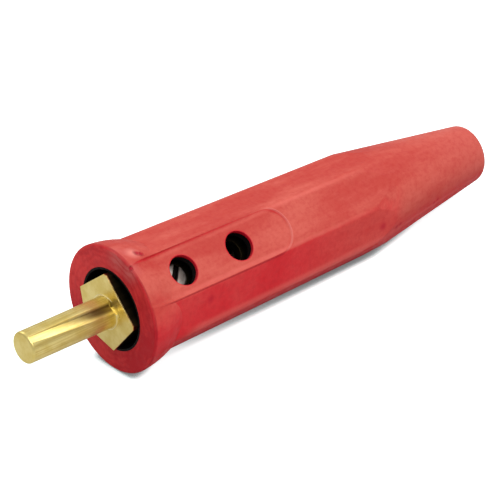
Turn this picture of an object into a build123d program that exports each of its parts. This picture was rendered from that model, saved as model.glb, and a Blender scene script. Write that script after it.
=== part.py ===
from build123d import *
from math import radians, tan
import os

os.makedirs("parts", exist_ok=True)

# Welding cable plug, in millimetres. X runs along the plug, from the pin's
# nose to the tail, and the origin is at the pin's root on the axis.
# +Z is up. The clamp screws point up and to the front, at screw_lean.

# Pin, and the ring at its root
pin_radius = 4.75
pin_length = 28.8
pin_nose = 0.7
ring_radius = 5.25
ring_thickness = 0.4

# Cam groove: a V along the pin, with one steep wall and one broad flat.
# It starts at the nose, deepens towards the root and ends in a short relief.
groove_angle = 7.3
groove_depth = 0.95
groove_offset = -0.5
groove_wall_angle = -63.4
groove_flat_angle = 78.1
groove_rise = 1.3
relief_depth = 1.5
relief_length = 0.5

# Bar behind the pin, turned round and then cut with flats
bar_radius = 11.8
bar_length = 52.0
bar_edge = 0.4
screw_flat = 8.6
side_flat = 9.6
side_flat_angle = 84.6
back_flat = 10.3
back_flat_angle = 148

# Cable socket in the rear of the bar
socket_radius = 5.5
socket_end_wall = 8.0
socket_lead = 0.8
drill_point_angle = 59

# Clamp screws, their tapped holes and the driver holes over them
screw_lean = 45
front_screw_x = 20.0
screw_spacing = 20.6
screw_radius = 3.85
screw_length = 8.0
screw_edge = 0.5
thread_clearance = 0.1
slot_width = 1.9
slot_depth = 2.0
front_screw_top = 9.7
rear_screw_top = 6.0
front_slot_angle = 50.0
rear_slot_angle = 20.0
driver_hole_radius = 4.45

# Liner round the bar: a neck at the mouth, a wider sleeve, a rear lip
liner_clearance = 0.1
neck_radius = 12.5
neck_length = 6.0
sleeve_radius = 13.9
lip_radius = 9.0
lip_thickness = 5.6
bar_end_gap = 0.3
mould_gap = 0.05

# Jacket: collar, octagonal grip and round tail
head_stand_out = 2.0
collar_radius = 19.33
flare_mid = 6.6
flare_mid_radius = 18.4
flare_length = 12.6
flare_end_radius = 16.2
rim_round = 0.6
grip_front_apothem = 16.69
grip_draft = 1.075
grip_round = 3.4
tail_start = 94.8
tail_start_radius = 15.48
tail_slope = 0.1405
tail_end = 142.7
tail_round = 2.5
rest_flat = 0.15

# Recessed pad round the two driver holes
pad_height = 15.0
pad_half_width = 7.35
pad_end = 59.3
pad_rim_recess = 0.1
pad_flare_mid = 5.5
pad_flare_mid_radius = 17.55
pad_flare_length = 10.4
pad_flare_end_radius = 15.75
pad_foot_length = 5.0
pad_foot_sink = 0.15
pad_wall_round = 1.2

# Cable way through the jacket, behind the liner
way_radius = 8.0
gland_radius = 5.75
gland_length = 20.0

collar_x = ring_thickness + head_stand_out
bar_x = ring_thickness
bar_end = bar_x + bar_length
socket_depth = bar_length - socket_end_wall
liner_end = bar_end + bar_end_gap + lip_thickness
rear_screw_x = front_screw_x + screw_spacing
far = 2 * collar_radius

screw_plane = Plane.XY.rotated((screw_lean, 0, 0))
screw_way = screw_plane.z_dir

# The plug lies on the rim of its collar and on the heel, where the bottom flat
# of the grip runs into the tail. Its own weight presses the rubber flat there.
grip_slope = tan(radians(grip_draft))
rim_x = collar_x + rim_round
heel_x = (
    tail_start_radius + tail_start * tail_slope - grip_front_apothem - collar_x * grip_slope
) / (tail_slope - grip_slope)
heel_radius = grip_front_apothem - (heel_x - collar_x) * grip_slope
rest_plane = Plane(
    origin=(rim_x, 0, -collar_radius),
    x_dir=(heel_x - rim_x, 0, collar_radius - heel_radius),
    z_dir=(heel_radius - collar_radius, 0, heel_x - rim_x),
)


def across(x):
    """Plane square to the plug's axis at x, with its own x axis towards the clamp screws."""
    return Plane(origin=(x, 0, 0), x_dir=screw_way, z_dir=(1, 0, 0))


def upright(x):
    """Plane square to the plug's axis at x, with its own x axis straight up."""
    return Plane(origin=(x, 0, 0), x_dir=(0, 0, 1), z_dir=(1, 0, 0))


# Brass body: pin, ring and bar in one piece
with BuildPart() as plug_body:
    with BuildSketch(across(bar_x)):
        Circle(bar_radius)
        flats = (
            (0, screw_flat),
            (side_flat_angle, side_flat),
            (-side_flat_angle, side_flat),
            (back_flat_angle, back_flat),
            (-back_flat_angle, back_flat),
        )
        for angle, distance in flats:
            with PolarLocations(distance, 1, start_angle=angle):
                Rectangle(
                    bar_radius,
                    far,
                    align=(Align.MIN, Align.CENTER),
                    mode=Mode.SUBTRACT,
                )
    extrude(amount=bar_length)
    chamfer(plug_body.faces().sort_by(Axis.X)[-1].edges(), length=bar_edge)
    with BuildSketch(across(bar_x)):
        Circle(ring_radius)
    extrude(amount=-ring_thickness)
    with BuildSketch(across(0)):
        Circle(pin_radius)
    extrude(amount=-pin_length)
    fillet(plug_body.faces().sort_by(Axis.X)[0].edges(), radius=pin_nose)
    groove_plane = across(0).rotated((0, 0, groove_angle))
    groove_wall = Vector(1, 0).rotate(Axis.Z, groove_wall_angle)
    groove_flat = Vector(1, 0).rotate(Axis.Z, groove_flat_angle)
    apex = Vector(pin_radius - groove_depth, groove_offset)
    with BuildSketch(groove_plane):
        with BuildLine():
            Polyline(
                apex,
                apex + groove_wall * pin_radius,
                apex + groove_wall * pin_radius + groove_flat * pin_radius,
                apex + groove_flat * pin_radius,
                close=True,
            )
        make_face()
    groove_run = (
        groove_plane.x_dir * groove_wall.X + groove_plane.y_dir * groove_wall.Y
    ) * groove_rise - Vector(pin_length, 0, 0)
    extrude(amount=groove_run.length, dir=groove_run, mode=Mode.SUBTRACT)
    with BuildSketch(groove_plane):
        with BuildLine():
            relief_apex = Vector(pin_radius - relief_depth, 0)
            Polyline(
                relief_apex,
                relief_apex + groove_wall * pin_radius,
                relief_apex + Vector(pin_radius, 0),
                close=True,
            )
        make_face()
    extrude(amount=-relief_length, mode=Mode.SUBTRACT)
    with BuildSketch(Plane.XY):
        with BuildLine():
            Polyline(
                (bar_end, 0),
                (bar_end, socket_radius + socket_lead),
                (bar_end - socket_lead, socket_radius),
                (bar_end - socket_depth, socket_radius),
                (bar_end - socket_depth - socket_radius / tan(radians(drill_point_angle)), 0),
                close=True,
            )
        make_face()
    revolve(axis=Axis.X, mode=Mode.SUBTRACT)
    with BuildSketch(screw_plane):
        with Locations((front_screw_x, 0), (rear_screw_x, 0)):
            Circle(screw_radius + thread_clearance)
    extrude(amount=far, mode=Mode.SUBTRACT)
plug_body.part.label = "plug_body"


def clamp_screw(x, top, slot_angle):
    """Slotted set screw at x, with its top face that far from the plug's axis."""
    with BuildPart() as screw:
        with BuildSketch(screw_plane.offset(top - screw_length)):
            with Locations((x, 0)):
                Circle(screw_radius)
        extrude(amount=screw_length)
        chamfer(screw.edges().filter_by(GeomType.CIRCLE), length=screw_edge)
        with BuildSketch(screw_plane.offset(top - slot_depth)):
            with Locations((x, 0)):
                Rectangle(4 * screw_radius, slot_width, rotation=slot_angle)
        extrude(amount=far, mode=Mode.SUBTRACT)
    return screw.part


front_clamp_screw = clamp_screw(front_screw_x, front_screw_top, front_slot_angle)
front_clamp_screw.label = "front_clamp_screw"
rear_clamp_screw = clamp_screw(rear_screw_x, rear_screw_top, rear_slot_angle)
rear_clamp_screw.label = "rear_clamp_screw"

# Liner: a black sleeve that the bar slides into as far as the rear lip
with BuildPart() as liner:
    with BuildSketch(Plane.XY):
        with BuildLine():
            Polyline(
                (collar_x, bar_radius + liner_clearance),
                (collar_x, neck_radius),
                (collar_x + neck_length, neck_radius),
                (collar_x + neck_length, sleeve_radius),
                (liner_end, sleeve_radius),
                (liner_end, lip_radius),
                (liner_end - lip_thickness, lip_radius),
                (liner_end - lip_thickness, bar_radius + liner_clearance),
                close=True,
            )
        make_face()
    revolve(axis=Axis.X)
    with BuildSketch(screw_plane):
        with Locations((front_screw_x, 0), (rear_screw_x, 0)):
            Circle(driver_hole_radius)
    extrude(amount=far, mode=Mode.SUBTRACT)
liner.part.label = "liner"

# Cutter for the pad: a racetrack over a floor that climbs to the collar
round_centre = pad_end - pad_half_width


def at_wall_foot(edge):
    """True for an edge where the pad's side or round end meets its floor."""
    middle = edge.center()
    at_side = abs(middle.dot(screw_plane.y_dir)) > pad_half_width / 2
    at_round_end = middle.X > round_centre
    return (at_side or at_round_end) and middle.dot(screw_way) < collar_radius


with BuildPart() as pad_cutter:
    with BuildSketch(screw_plane.offset(pad_height)):
        with Locations((round_centre, 0)):
            Circle(pad_half_width)
            Rectangle(round_centre, 2 * pad_half_width, align=(Align.MAX, Align.CENTER))
    extrude(amount=far)
    with BuildSketch(Plane.XY):
        pad_rim_radius = collar_radius - pad_rim_recess
        pad_flare_end = (collar_x + pad_flare_length, pad_flare_end_radius)
        foot_height = pad_height - pad_foot_sink
        foot_x = collar_x + pad_flare_length + pad_foot_length
        with BuildLine():
            Line((0, 0), (0, pad_rim_radius))
            Line((0, pad_rim_radius), (collar_x, pad_rim_radius))
            ThreePointArc(
                (collar_x, pad_rim_radius),
                (collar_x + pad_flare_mid, pad_flare_mid_radius),
                pad_flare_end,
            )
            TangentArc((foot_x, foot_height), pad_flare_end, tangent=(-1, 0))
            Line((foot_x, foot_height), (foot_x, 0))
            Line((foot_x, 0), (0, 0))
        make_face()
    revolve(axis=Axis.X, mode=Mode.SUBTRACT)
    fillet(pad_cutter.edges().filter_by(at_wall_foot), radius=pad_wall_round)

# Jacket: one rubber moulding over the liner
with BuildPart() as insulator:
    for x in (collar_x, tail_end):
        apothem = grip_front_apothem - (x - collar_x) * grip_slope
        with BuildSketch(upright(x)) as grip_section:
            RegularPolygon(
                apothem,
                8,
                major_radius=False,
                rotation=22.5,
            )
            fillet(grip_section.vertices(), radius=grip_round)
    loft(ruled=True)
    tail_end_radius = tail_start_radius - (tail_end - tail_start) * tail_slope
    cone_top_x = tail_start - (far - tail_start_radius) / tail_slope
    with BuildSketch(Plane.XY):
        with BuildLine():
            Polyline(
                (cone_top_x, 0),
                (cone_top_x, far),
                (tail_end, tail_end_radius),
                (tail_end, 0),
                close=True,
            )
        make_face()
    revolve(axis=Axis.X, mode=Mode.INTERSECT)
    with BuildSketch(Plane.XY):
        with BuildLine():
            Line((collar_x, 0), (collar_x, collar_radius))
            ThreePointArc(
                (collar_x, collar_radius),
                (collar_x + flare_mid, flare_mid_radius),
                (collar_x + flare_length, flare_end_radius),
            )
            Line((collar_x + flare_length, flare_end_radius), (collar_x + flare_length, 0))
            Line((collar_x + flare_length, 0), (collar_x, 0))
        make_face()
    revolve(axis=Axis.X)
    fillet(insulator.faces().sort_by(Axis.X)[0].edges(), radius=rim_round)
    fillet(insulator.faces().sort_by(Axis.X)[-1].edges(), radius=tail_round)
    add(pad_cutter.part, mode=Mode.SUBTRACT)
    split(bisect_by=rest_plane.offset(rest_flat), keep=Keep.TOP)
    gland_start = tail_end - gland_length
    with BuildSketch(Plane.XY):
        with BuildLine():
            Polyline(
                (collar_x, 0),
                (collar_x, neck_radius + mould_gap),
                (collar_x + neck_length - mould_gap, neck_radius + mould_gap),
                (collar_x + neck_length - mould_gap, sleeve_radius + mould_gap),
                (liner_end + mould_gap, sleeve_radius + mould_gap),
                (liner_end + mould_gap, way_radius),
                (gland_start, gland_radius),
                (tail_end, gland_radius),
                (tail_end, 0),
                close=True,
            )
        make_face()
    revolve(axis=Axis.X, mode=Mode.SUBTRACT)
    with BuildSketch(screw_plane):
        with Locations((front_screw_x, 0), (rear_screw_x, 0)):
            Circle(driver_hole_radius)
    extrude(amount=far, mode=Mode.SUBTRACT)
insulator.part.label = "insulator"

export_step(plug_body.part, "parts/plug_body.step")
export_step(front_clamp_screw, "parts/front_clamp_screw.step")
export_step(rear_clamp_screw, "parts/rear_clamp_screw.step")
export_step(liner.part, "parts/liner.step")
export_step(insulator.part, "parts/insulator.step")
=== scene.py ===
from math import cos, radians, sin

import bpy
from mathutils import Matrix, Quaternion, Vector

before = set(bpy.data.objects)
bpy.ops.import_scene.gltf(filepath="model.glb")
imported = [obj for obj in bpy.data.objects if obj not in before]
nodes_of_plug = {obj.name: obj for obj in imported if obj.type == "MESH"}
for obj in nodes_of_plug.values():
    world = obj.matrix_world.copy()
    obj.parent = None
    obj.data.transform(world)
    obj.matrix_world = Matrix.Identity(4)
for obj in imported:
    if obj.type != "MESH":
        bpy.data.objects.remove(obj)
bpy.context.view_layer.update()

# Camera: it looks down on the pin end from the left, with a long lens,
# so that the plug runs from the lower left to the upper right.
camera_turn = radians(42.11)
camera_lift = radians(30.01)
camera_roll = radians(0.49)
camera_distance = 0.9
camera_aim = Vector((0.0624, 0, 0))
looking = Vector((
    sin(camera_turn) * cos(camera_lift),
    cos(camera_turn) * cos(camera_lift),
    -sin(camera_lift),
))
camera_lens = bpy.data.cameras.new("plug_camera")
camera_lens.sensor_width = 36
camera_lens.lens = 223.1
camera_lens.shift_x = -0.0427
camera_lens.shift_y = -0.0228
camera_lens.clip_start = 0.01
camera = bpy.data.objects.new("plug_camera", camera_lens)
camera.location = camera_aim - looking * camera_distance
camera.rotation_mode = "QUATERNION"
camera.rotation_quaternion = looking.to_track_quat("-Z", "Y") @ Quaternion((0, 0, 1), camera_roll)
bpy.context.scene.collection.objects.link(camera)
bpy.context.scene.camera = camera
bpy.context.scene.view_settings.view_transform = "Standard"

# Bench: a sheet of white paper, with a painted shadow where the plug lies on it. It meets the
# rim of the collar and the heel of the grip, so it climbs towards the tail.
rim_x = 0.0030
rim_drop = 0.01920
heel_x = 0.0991
heel_drop = 0.01475
bench_slope = (rim_drop - heel_drop) / (heel_x - rim_x)
bench_reach = 3.0


def point_on_bench(x, y):
    return (x, y, -rim_drop + (x - rim_x) * bench_slope)


bench_sheet = bpy.data.meshes.new("bench")
bench_sheet.from_pydata(
    [point_on_bench(x, y) for x, y in (
        (-bench_reach, -bench_reach),
        (bench_reach, -bench_reach),
        (bench_reach, bench_reach),
        (-bench_reach, bench_reach),
    )],
    [],
    [(0, 1, 2, 3)],
)
bench = bpy.data.objects.new("bench", bench_sheet)
bpy.context.scene.collection.objects.link(bench)


def wire(material, from_socket, to_socket):
    material.node_tree.links.new(from_socket, to_socket)


def add_node(material, kind, **sockets):
    node = material.node_tree.nodes.new(kind)
    for name, value in sockets.items():
        node.inputs[name.replace("_", " ")].default_value = value
    return node


def work_out(material, operation, *amounts):
    """Math node of that operation, on sockets or plain numbers."""
    node = add_node(material, "ShaderNodeMath")
    node.operation = operation
    for slot, amount in enumerate(amounts):
        if isinstance(amount, (int, float)):
            node.inputs[slot].default_value = amount
        else:
            wire(material, amount, node.inputs[slot])
    return node.outputs["Value"]


def fold(material, operation, amounts):
    """The operation on the first two amounts, then on its result and the next."""
    result = amounts[0]
    for amount in amounts[1:]:
        result = work_out(material, operation, result, amount)
    return result


def product(material, *amounts):
    return fold(material, "MULTIPLY", amounts)


def total(material, *amounts):
    return fold(material, "ADD", amounts)


def fade(material, amount, start, end, low=0.0, high=1.0):
    """Number that goes smoothly from low to high as the amount goes from start to end."""
    change = add_node(
        material, "ShaderNodeMapRange", From_Min=start, From_Max=end, To_Min=low, To_Max=high
    )
    change.interpolation_type = "SMOOTHSTEP"
    wire(material, amount, change.inputs["Value"])
    return change.outputs["Result"]


def two_tone(material, amount, low, high):
    """Colour between low and high. Either may be a colour or a socket."""
    mix = material.node_tree.nodes.new("ShaderNodeMix")
    mix.data_type = "RGBA"
    mix.clamp_factor = True
    factor, first, second = mix.inputs[0], mix.inputs[6], mix.inputs[7]
    wire(material, amount, factor)
    for socket, colour in ((first, low), (second, high)):
        if isinstance(colour, tuple):
            socket.default_value = (*colour, 1)
        else:
            wire(material, colour, socket)
    return mix.outputs[2]


def new_material(name):
    """New material of that name, and its shader."""
    material = bpy.data.materials.new(name)
    material.use_nodes = True
    return material, material.node_tree.nodes["Principled BSDF"]


bench_paper, paper = new_material("bench_paper")
paper.inputs["Roughness"].default_value = 0.9
paper.inputs["Specular IOR Level"].default_value = 0.1
paper.inputs["Emission Color"].default_value = (1, 1, 1, 1)
paper_ray = add_node(bench_paper, "ShaderNodeLightPath").outputs
# painted shadow: near the plug the paper is darker and glows less, by ambient occlusion
touch_reach = 0.0023
shut_in, wide_open = 0.35, 0.97
paper_open = add_node(bench_paper, "ShaderNodeAmbientOcclusion", Distance=touch_reach)
paper_open.samples = 4
paper_clear = fade(bench_paper, paper_open.outputs["AO"], shut_in, wide_open)
painted_shadow_glow, clear_glow, mirrored_glow = 0.15, 0.66, 0.15
paper_glow = total(bench_paper, product(bench_paper, paper_clear, clear_glow), painted_shadow_glow)
paper_seen = product(bench_paper, paper_ray["Is Camera Ray"], paper_glow)
paper_mirrored = product(
    bench_paper,
    total(bench_paper, paper_ray["Is Glossy Ray"], paper_ray["Is Transmission Ray"]),
    mirrored_glow,
)
wire(bench_paper, total(bench_paper, paper_seen, paper_mirrored), paper.inputs["Emission Strength"])
painted_shadow_paper, clear_paper, unseen_paper = (0.16, 0.26, 0.27), (0.60, 0.80, 0.80), (0.5, 0.5, 0.5)
seen_paper = two_tone(bench_paper, paper_clear, painted_shadow_paper, clear_paper)
paper_colour = two_tone(bench_paper, paper_ray["Is Camera Ray"], unseen_paper, seen_paper)
wire(bench_paper, paper_colour, paper.inputs["Base Color"])
bench_sheet.materials.append(bench_paper)

# Lights: a broad soft box over the plug, one behind the tail that runs along
# the pin and one at the back, in a room that is pale above and dimmer at the
# horizon.
room = bpy.data.worlds.new("room")
room.use_nodes = True
bpy.context.scene.world = room
room_light = room.node_tree.nodes["Background"]
room_light.inputs["Color"].default_value = (1, 1, 1, 1)
room_way = add_node(room, "ShaderNodeTexCoord")
room_height = add_node(room, "ShaderNodeSeparateXYZ")
wire(room, room_way.outputs["Generated"], room_height.inputs["Vector"])
floor_line, ceiling_line = -0.1, 0.9
floor_light, ceiling_light, white_wall = 0.30, 0.72, 0.7
room_fade = add_node(
    room,
    "ShaderNodeMapRange",
    From_Min=floor_line,
    From_Max=ceiling_line,
    To_Min=floor_light,
    To_Max=ceiling_light,
)
wire(room, room_height.outputs["Z"], room_fade.inputs["Value"])
room_ray = add_node(room, "ShaderNodeLightPath").outputs
room_strength = total(
    room, room_fade.outputs["Result"], product(room, room_ray["Is Camera Ray"], white_wall)
)
wire(room, room_strength, room_light.inputs["Strength"])


def soft_box(name, place, size, power):
    lamp = bpy.data.lights.new(name, "AREA")
    lamp.shape = "RECTANGLE"
    lamp.size, lamp.size_y = size
    lamp.energy = power
    box = bpy.data.objects.new(name, lamp)
    box.location = place
    box.rotation_mode = "QUATERNION"
    box.rotation_quaternion = (camera_aim - Vector(place)).to_track_quat("-Z", "Y")
    bpy.context.scene.collection.objects.link(box)


soft_box("over_box", place=(-0.15, -0.47, 0.72), size=(0.7, 0.5), power=4.1)
soft_box("tail_box", place=(0.50, -0.20, 0.62), size=(0.6, 0.45), power=1.5)
soft_box("back_box", place=(0.00, 0.60, 0.42), size=(0.7, 0.4), power=1.3)


# Jacket: one moulding in red rubber, from the round collar to the tail. It has
# a dull sheen, a painted sheen that pales its upper faces, the flow marks of the
# mould and a few small scars near the collar.
def piece_place(material):
    """Point on the piece, in metres."""
    return add_node(material, "ShaderNodeTexCoord").outputs["Object"]


def parts_of(material, vector):
    split = add_node(material, "ShaderNodeSeparateXYZ")
    wire(material, vector, split.inputs["Vector"])
    return split.outputs["X"], split.outputs["Y"], split.outputs["Z"]


def grain(material, scale, detail=2.0, roughness=0.5, stretch=(1, 1, 1)):
    """Noise in the piece's own space, with so many lumps to the metre."""
    shape = add_node(material, "ShaderNodeMapping", Scale=stretch)
    noise = add_node(material, "ShaderNodeTexNoise", Scale=scale, Detail=detail, Roughness=roughness)
    wire(material, piece_place(material), shape.inputs["Vector"])
    wire(material, shape.outputs["Vector"], noise.inputs["Vector"])
    return noise.outputs["Fac"]


def largest(material, *amounts):
    return fold(material, "MAXIMUM", amounts)


def length_of(material, across, along):
    """Distance whose two parts, at right angles, are given."""
    squares = [product(material, part, part) for part in (across, along)]
    return work_out(material, "SQRT", total(material, *squares))


def spot(material, place, reach):
    """Soft round mark: 1 at the place, 0 at that distance from it."""
    gap = add_node(material, "ShaderNodeVectorMath")
    gap.operation = "DISTANCE"
    gap.inputs[1].default_value = place
    wire(material, piece_place(material), gap.inputs[0])
    return fade(material, gap.outputs["Value"], reach, 0.0)


def raise_by(material, amount, depth, under=None):
    """Bump of that depth in metres, over another bump where one is given."""
    bump = add_node(material, "ShaderNodeBump", Strength=1.0, Distance=depth)
    wire(material, amount, bump.inputs["Height"])
    if under is not None:
        wire(material, under, bump.inputs["Normal"])
    return bump.outputs["Normal"]


red_rubber, rubber = new_material("red_rubber")
rubber.inputs["Specular IOR Level"].default_value = 0.12
rubber_x, rubber_y, rubber_z = parts_of(red_rubber, piece_place(red_rubber))
rubber_facing = add_node(red_rubber, "ShaderNodeTexCoord").outputs["Normal"]
facing_up = parts_of(red_rubber, rubber_facing)[2]
rubber_clouds = fade(red_rubber, grain(red_rubber, 70, detail=6, roughness=0.7), 0.33, 0.67)
flow_marks = grain(red_rubber, 110, detail=4, roughness=0.6, stretch=(0.25, 1, 1))

# deep red on the sides, darker below as painted shade, and a painted sheen
# above, on the rear of the sides and over the tail
deep_red = two_tone(red_rubber, rubber_clouds, (0.64, 0.020, 0.027), (0.70, 0.036, 0.042))
# painted shade: faces turned downwards are darker
underside_shade_red = (0.60, 0.003, 0.008)
underside_shade = fade(red_rubber, facing_up, -0.20, -0.65)
deep_red = two_tone(red_rubber, underside_shade, deep_red, underside_shade_red)
flow_streaks = fade(red_rubber, flow_marks, 0.38, 0.64)
sheen_red = two_tone(red_rubber, flow_streaks, (0.52, 0.060, 0.046), (0.61, 0.112, 0.083))
# painted sheen: upward faces, the rear of the sides and the tail turn pale
top_sheen = fade(
    red_rubber, total(red_rubber, facing_up, product(red_rubber, rubber_clouds, 0.25)), 0.05, 0.80
)
side_sheen = product(
    red_rubber,
    fade(red_rubber, rubber_x, 0.050, 0.085, high=0.5),
    fade(red_rubber, facing_up, -0.6, -0.1),
)
tail_sheen = product(
    red_rubber,
    fade(red_rubber, rubber_x, 0.092, 0.104, high=0.95),
    fade(red_rubber, facing_up, -0.50, 0.05),
)
painted_sheen = largest(red_rubber, top_sheen, side_sheen, tail_sheen)
jacket_red = two_tone(red_rubber, painted_sheen, deep_red, sheen_red)
# painted highlight: the top and sides of the tail end are paler
tail_end_highlight_red = (0.64, 0.135, 0.105)
tail_end_highlight = product(
    red_rubber,
    fade(red_rubber, rubber_x, 0.108, 0.140, high=0.6),
    fade(red_rubber, facing_up, -0.45, 0.20),
)
jacket_red = two_tone(red_rubber, tail_end_highlight, jacket_red, tail_end_highlight_red)
speckle_red = (0.44, 0.014, 0.020)
speckle = fade(red_rubber, grain(red_rubber, 700, detail=4, roughness=0.7), 0.38, 0.72, high=0.30)
jacket_red = two_tone(red_rubber, speckle, jacket_red, speckle_red)

# the moulded ridges of the grip are paler, and a painted highlight lies in a band
# over the lower ridges
half_a_flat = radians(22.5)
band_start, ridge_start, ridge_top = radians(13), radians(19), radians(22.2)
around_axis = work_out(red_rubber, "ARCTAN2", rubber_z, rubber_y)
from_flat = work_out(red_rubber, "PINGPONG", around_axis, half_a_flat)
pale_ridge_red = (0.72, 0.15, 0.12)
pale_ridges = product(
    red_rubber,
    fade(red_rubber, from_flat, ridge_start, ridge_top),
    fade(red_rubber, rubber_x, 0.012, 0.020),
    fade(red_rubber, rubber_x, 0.094, 0.080),
    fade(red_rubber, flow_marks, 0.30, 0.60, low=0.15, high=0.45),
)
jacket_red = two_tone(red_rubber, pale_ridges, jacket_red, pale_ridge_red)
# painted highlight: a light band along the rounded lower ridges
low_band_highlight_red = (0.72, 0.13, 0.11)
low_band_highlight = product(
    red_rubber,
    fade(red_rubber, from_flat, band_start, ridge_start, high=0.50),
    fade(red_rubber, rubber_z, -0.002, -0.004),
    fade(red_rubber, facing_up, -0.5, -0.2),
    fade(red_rubber, rubber_x, 0.014, 0.022),
)
jacket_red = two_tone(red_rubber, low_band_highlight, jacket_red, low_band_highlight_red)

# painted shade lies along the foot of the pad's wall, and a painted highlight on its round end
pad_lean = sin(radians(45))
pad_round_centre = 0.05195
pad_wall = 0.00722
wall_line_reach, wall_line_core = 0.00040, 0.00012
across_pad = product(red_rubber, total(red_rubber, rubber_y, rubber_z), pad_lean)
past_centre = largest(
    red_rubber, work_out(red_rubber, "SUBTRACT", rubber_x, pad_round_centre), 0.0
)
from_pad_middle = length_of(red_rubber, across_pad, past_centre)
from_pad_wall = work_out(
    red_rubber, "ABSOLUTE", work_out(red_rubber, "SUBTRACT", from_pad_middle, pad_wall)
)
pad_side_of_plug = fade(
    red_rubber, work_out(red_rubber, "SUBTRACT", rubber_z, rubber_y), 0.018, 0.020
)
pad_line = product(
    red_rubber,
    fade(red_rubber, from_pad_wall, wall_line_reach, wall_line_core),
    pad_side_of_plug,
    fade(red_rubber, rubber_x, 0.004, 0.012),
)
# painted shade: a thin dark line at the foot of the pad's wall
wall_shade_red = (0.30, 0.008, 0.016)
pad_wall_shade = product(
    red_rubber,
    pad_line,
    fade(red_rubber, rubber_x, 0.056, 0.052),
    fade(red_rubber, across_pad, -0.002, 0.002, low=0.60, high=0.10),
)
jacket_red = two_tone(red_rubber, pad_wall_shade, jacket_red, wall_shade_red)
# painted highlight on the round end of the pad's wall
pad_end_highlight_red = (0.76, 0.22, 0.19)
pad_end_highlight = product(red_rubber, pad_line, fade(red_rubber, rubber_x, 0.053, 0.057, high=0.5))
jacket_red = two_tone(red_rubber, pad_end_highlight, jacket_red, pad_end_highlight_red)

# the skin is deep crimson where the two driver holes cut it
front_hole_x, rear_hole_x = 0.0200, 0.0406
cut_reach, cut_core = 0.0049, 0.0045
cut_crimson = (0.60, 0.004, 0.022)
from_hole = work_out(red_rubber, "MINIMUM", *(
    length_of(red_rubber, work_out(red_rubber, "SUBTRACT", rubber_x, hole_x), across_pad)
    for hole_x in (front_hole_x, rear_hole_x)
))
hole_rim = product(
    red_rubber, fade(red_rubber, from_hole, cut_reach, cut_core, high=0.75), pad_side_of_plug
)
jacket_red = two_tone(red_rubber, hole_rim, jacket_red, cut_crimson)

# the front of the collar keeps the dark, swirled skin of the mould, with painted
# shade darkening it towards the -Y side, and a dark line runs round its rim
collar_swirl = add_node(
    red_rubber, "ShaderNodeTexWave", Scale=160, Distortion=9, Detail=3, Detail_Scale=1.2
)
collar_swirl.wave_type = "RINGS"
collar_swirl.rings_direction = "X"
wire(red_rubber, piece_place(red_rubber), collar_swirl.inputs["Vector"])
swirl = collar_swirl.outputs["Fac"]
# face tone: swirl and clouds of the skin, with painted shade towards the -Y side
face_tone_and_shade = total(
    red_rubber,
    product(red_rubber, swirl, 0.22),
    product(red_rubber, rubber_clouds, 0.78),
    fade(red_rubber, rubber_y, -0.016, 0.004, low=-0.45, high=0.12),
)
face_red_and_shade = two_tone(red_rubber, face_tone_and_shade, (0.50, 0.014, 0.022), (0.78, 0.052, 0.052))
collar_face_x = 0.0024
on_face = fade(red_rubber, rubber_x, rim_x, collar_face_x)
jacket_red = two_tone(red_rubber, on_face, jacket_red, face_red_and_shade)
scuffed_red = (0.58, 0.12, 0.11)
scuffs = product(
    red_rubber,
    largest(
        red_rubber,
        spot(red_rubber, (collar_face_x, -0.0030, 0.0170), reach=0.006),
        spot(red_rubber, (collar_face_x, -0.0080, 0.0155), reach=0.005),
    ),
    fade(red_rubber, swirl, 0.2, 0.7, low=0.45, high=0.80),
)
jacket_red = two_tone(red_rubber, scuffs, jacket_red, scuffed_red)
rim_red = (0.34, 0.006, 0.016)
rim_line = product(
    red_rubber,
    fade(red_rubber, rubber_x, 0.00245, 0.00275),
    fade(red_rubber, rubber_x, 0.00340, 0.00300),
    fade(red_rubber, flow_marks, 0.35, 0.60, low=0.25, high=0.65),
)
jacket_red = two_tone(red_rubber, rim_line, jacket_red, rim_red)

# a pit with a raised lip beside the pad and a notch in the rim, with painted shade
# in the hollows and a painted highlight on the lip, and dark marks on the side and
# where the grip runs into the tail
lip_highlight_red = (0.78, 0.24, 0.20)
pit_lip = spot(red_rubber, (0.0069, -0.0042, 0.0181), reach=0.0032)
# painted highlight on the raised lip of the pit
jacket_red = two_tone(red_rubber, product(red_rubber, pit_lip, 0.9), jacket_red, lip_highlight_red)
hollows = largest(
    red_rubber,
    spot(red_rubber, (0.0081, -0.0046, 0.0179), reach=0.0016),
    spot(red_rubber, (0.0091, -0.0051, 0.0177), reach=0.0014),
    spot(red_rubber, (0.0027, -0.0086, 0.0169), reach=0.0011),
)
side_marks = [
    product(red_rubber, spot(red_rubber, place, reach), strength)
    for place, reach, strength in (
        ((0.0251, -0.0163, 0.0017), 0.0020, 0.60),
        ((0.0930, -0.0150, -0.0010), 0.0022, 0.75),
        ((0.0993, -0.0143, -0.0038), 0.0012, 0.75),
        ((0.1008, -0.0141, -0.0034), 0.0010, 0.75),
        ((0.1170, -0.0120, -0.0032), 0.0010, 0.75),
        ((0.1185, -0.0118, -0.0026), 0.0009, 0.75),
    )
]
# painted shade in the pit and the notch, and the dark marks
mark_red = (0.46, 0.004, 0.022)
dark_marks = largest(red_rubber, hollows, *side_marks)
jacket_red = two_tone(red_rubber, dark_marks, jacket_red, mark_red)
wire(red_rubber, jacket_red, rubber.inputs["Base Color"])

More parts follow.
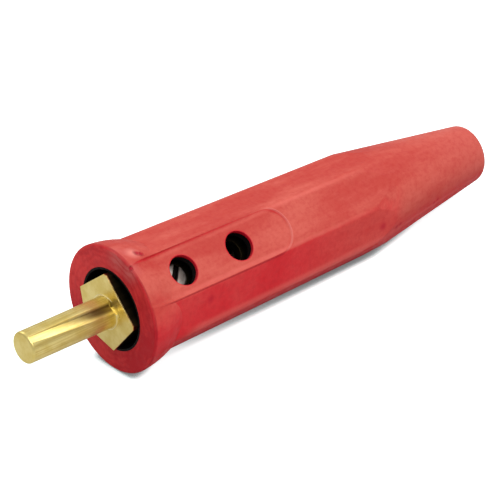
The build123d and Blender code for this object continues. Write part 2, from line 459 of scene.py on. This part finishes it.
rubber_dullness = fade(
    red_rubber, grain(red_rubber, 400, detail=4), 0.3, 0.7, low=0.44, high=0.60
)
wire(red_rubber, rubber_dullness, rubber.inputs["Roughness"])
rubber_edges = add_node(red_rubber, "ShaderNodeBevel", Radius=0.00025)
scar_depth, wave_depth, skin_depth = 0.0008, 0.00010, 0.00005
scar_height = work_out(red_rubber, "SUBTRACT", product(red_rubber, pit_lip, 0.4), hollows)
scars = raise_by(red_rubber, scar_height, scar_depth, under=rubber_edges.outputs["Normal"])
rubber_waves = raise_by(red_rubber, flow_marks, wave_depth, under=scars)
rubber_skin = raise_by(
    red_rubber, grain(red_rubber, 900, detail=4), skin_depth, under=rubber_waves
)
wire(red_rubber, rubber_skin, rubber.inputs["Normal"])
nodes_of_plug["insulator"].material_slots[0].material = red_rubber

# Liner: a sleeve in matt black plastic, pushed in between jacket and bar. It
# shows as a black band in the mouth of the collar and in the driver holes.
black_liner, liner = new_material("black_liner")
liner.inputs["Specular IOR Level"].default_value = 0.12
liner_clouds = grain(black_liner, 500, detail=3)
liner_black = two_tone(black_liner, liner_clouds, (0.003, 0.003, 0.003), (0.008, 0.006, 0.006))
wire(black_liner, liner_black, liner.inputs["Base Color"])
liner_dullness = fade(black_liner, grain(black_liner, 900), 0.3, 0.7, low=0.6, high=0.8)
wire(black_liner, liner_dullness, liner.inputs["Roughness"])
liner_skin = raise_by(black_liner, liner_clouds, depth=0.00004)
wire(black_liner, liner_skin, liner.inputs["Normal"])
nodes_of_plug["liner"].material_slots[0].material = black_liner

# Brass body: the pin, its thin ring and the bar are turned from one rod, and
# the flats are milled. The pin and the front face are bright, and the sides of
# the bar and the tapped holes are painted dark as shade inside the liner.
brass, metal = new_material("brass")
metal.inputs["Metallic"].default_value = 1.0
brass_x, brass_y, brass_z = parts_of(brass, piece_place(brass))
brass_tone = fade(brass, grain(brass, 220, detail=5, roughness=0.6), 0.35, 0.65)
brass_colour = two_tone(brass, brass_tone, (0.77, 0.60, 0.18), (0.87, 0.72, 0.28))
draw_marks = grain(brass, 1500, detail=4, roughness=0.6, stretch=(0.03, 1, 1))
marked_brass = (0.58, 0.40, 0.095)
marked = product(
    brass,
    fade(brass, draw_marks, 0.42, 0.62, high=0.55),
    fade(brass, brass_x, 0.0, -0.0010),
    fade(brass, brass_x, -0.0285, -0.0276),
)
brass_colour = two_tone(brass, marked, brass_colour, marked_brass)
# painted shade: brass more than about a millimetre behind the front face is near black
in_liner_shade_brass = (0.035, 0.025, 0.012)
in_liner = fade(brass, brass_x, 0.00045, 0.0010)
brass_colour = two_tone(brass, in_liner, brass_colour, in_liner_shade_brass)

# painted shade fills the cam groove towards the root, and a painted highlight lies on the ring's rim
off_axis = length_of(brass, brass_y, brass_z)
groove_edge, groove_floor = 0.00465, 0.00405
# painted shade: the groove darkens towards the root
groove_shade_brown = (0.10, 0.06, 0.02)
groove_shade = product(
    brass,
    fade(brass, brass_x, 0.0, -0.0001),
    fade(brass, off_axis, groove_edge, groove_floor),
    fade(brass, brass_x, -0.026, -0.004, high=0.9),
)
brass_colour = two_tone(brass, groove_shade, brass_colour, groove_shade_brown)
# painted highlight: a thin bright arc on the ring's rim
ring_highlight_brass = (0.96, 0.86, 0.52)
ring_rim_highlight = product(
    brass,
    fade(brass, off_axis, 0.0050, 0.0052),
    fade(brass, off_axis, 0.0056, 0.0053),
    fade(brass, brass_x, 0.00042, 0.00030),
)
brass_colour = two_tone(brass, ring_rim_highlight, brass_colour, ring_highlight_brass)
wire(brass, brass_colour, metal.inputs["Base Color"])
wire(brass, fade(brass, draw_marks, 0.3, 0.7, low=0.30, high=0.46), metal.inputs["Roughness"])
brass_edges = add_node(brass, "ShaderNodeBevel", Radius=0.00025)
tool_marks = grain(brass, 2500, detail=2, stretch=(1, 0.05, 0.05))
turned_skin = raise_by(brass, tool_marks, depth=0.0000005, under=brass_edges.outputs["Normal"])
wire(brass, turned_skin, metal.inputs["Normal"])
nodes_of_plug["plug_body"].material_slots[0].material = brass

# Clamp screws: two slotted set screws in plain steel, in the tapped holes of
# the bar. The rear one is wound deeper, and painted shade deep in the holes darkens it.
screw_steel, steel = new_material("screw_steel")
steel.inputs["Metallic"].default_value = 1.0
_, screw_y, screw_z = parts_of(screw_steel, piece_place(screw_steel))
screw_lean = sin(radians(45))
screw_height = product(
    screw_steel, work_out(screw_steel, "SUBTRACT", screw_z, screw_y), screw_lean
)
bare_steel = two_tone(
    screw_steel, grain(screw_steel, 700, detail=4), (0.22, 0.18, 0.15), (0.50, 0.46, 0.42)
)
# painted shade: steel lower than 9.5 mm along the screw way turns dark
hole_shade_steel = (0.020, 0.017, 0.015)
shade_start_height, shade_full_height = 0.0095, 0.0085
hole_shade = fade(screw_steel, screw_height, shade_start_height, shade_full_height)
screw_colour = two_tone(screw_steel, hole_shade, bare_steel, hole_shade_steel)
wire(screw_steel, screw_colour, steel.inputs["Base Color"])
steel_dullness = fade(screw_steel, grain(screw_steel, 1200), 0.3, 0.7, low=0.28, high=0.45)
wire(screw_steel, steel_dullness, steel.inputs["Roughness"])
thread_pitch = 0.00106
thread_turns = work_out(screw_steel, "PINGPONG", screw_height, thread_pitch / 2)
steel_edges = add_node(screw_steel, "ShaderNodeBevel", Radius=0.00012)
screw_thread = raise_by(screw_steel, thread_turns, depth=1.0, under=steel_edges.outputs["Normal"])
wire(screw_steel, screw_thread, steel.inputs["Normal"])
for screw_name in ("front_clamp_screw", "rear_clamp_screw"):
    nodes_of_plug[screw_name].material_slots[0].material = screw_steel
